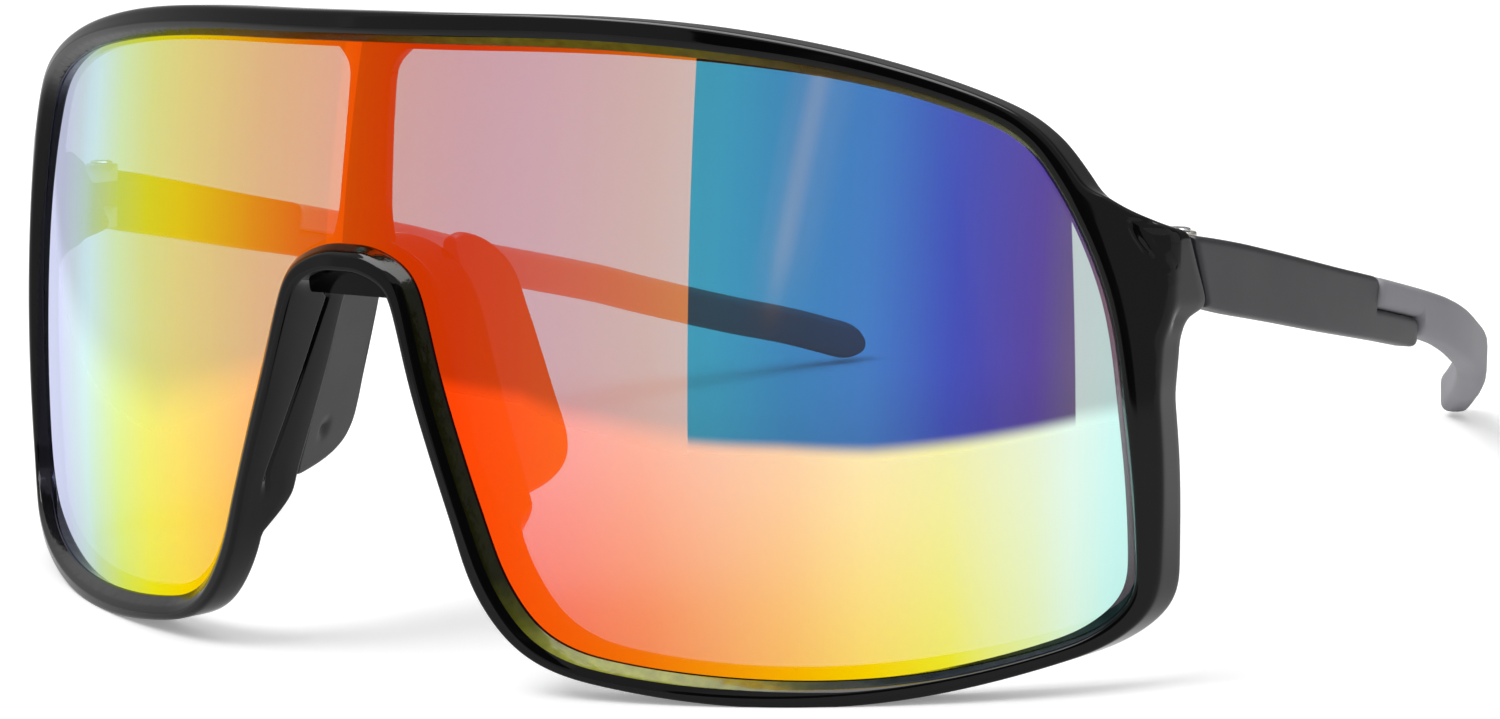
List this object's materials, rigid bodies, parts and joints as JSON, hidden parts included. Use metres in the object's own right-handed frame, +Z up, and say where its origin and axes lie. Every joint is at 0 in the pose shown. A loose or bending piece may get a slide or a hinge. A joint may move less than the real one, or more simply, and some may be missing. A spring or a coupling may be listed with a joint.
{
  "type": "shield sunglasses",
  "caption": "Shield sunglasses with one wide curved mirrored lens in a full glossy rim, separate soft nose pads and two folding temples with soft curled tips.",
  "frame": {"origin": "on the surface that the glasses stand on, under the middle of their width and depth, with the temples open", "axes": "+X across the face towards the wearer's left, +Y from the lens back to the temple tips, +Z up; the glasses stand on the bottom of the rim and the temple tips"},
  "size_m": [0.141, 0.1561, 0.0615],
  "materials": {
    "frame": "glossy black moulded nylon",
    "lens": "tinted polycarbonate with a many-coloured mirror coating",
    "nose_pads": "satin dark grey soft elastomer",
    "hinge_metal": "plain nickel silver",
    "screw_steel": "turned steel",
    "temples": "satin black moulded nylon",
    "temple_tips": "satin dark grey soft elastomer"
  },
  "bodies": {
    "front": {"frame_front": "frame", "lens": "lens", "nose_pad_left": "nose_pads", "nose_pad_right": "nose_pads", "hinge_front_left": "hinge_metal", "hinge_front_right": "hinge_metal", "hinge_screw_left": "screw_steel", "hinge_screw_right": "screw_steel"},
    "temple_left": {"hinge_temple_left": "hinge_metal", "temple_arm_left": "temples", "temple_sleeve_left": "temple_tips"},
    "temple_right": {"hinge_temple_right": "hinge_metal", "temple_arm_right": "temples", "temple_sleeve_right": "temple_tips"}
  },
  "joints": [
    {"name": "fold_left", "type": "hinge", "parent": "front", "child": "temple_left", "pos_m": [0.0661, -0.03846, 0.03666], "axis": [0, 0.0854, 0.9963], "range_deg": [0, 84]},
    {"name": "fold_right", "type": "hinge", "parent": "front", "child": "temple_right", "pos_m": [-0.0661, -0.03846, 0.03666], "axis": [0, -0.0854, -0.9963], "range_deg": [0, 74]}
  ]
}
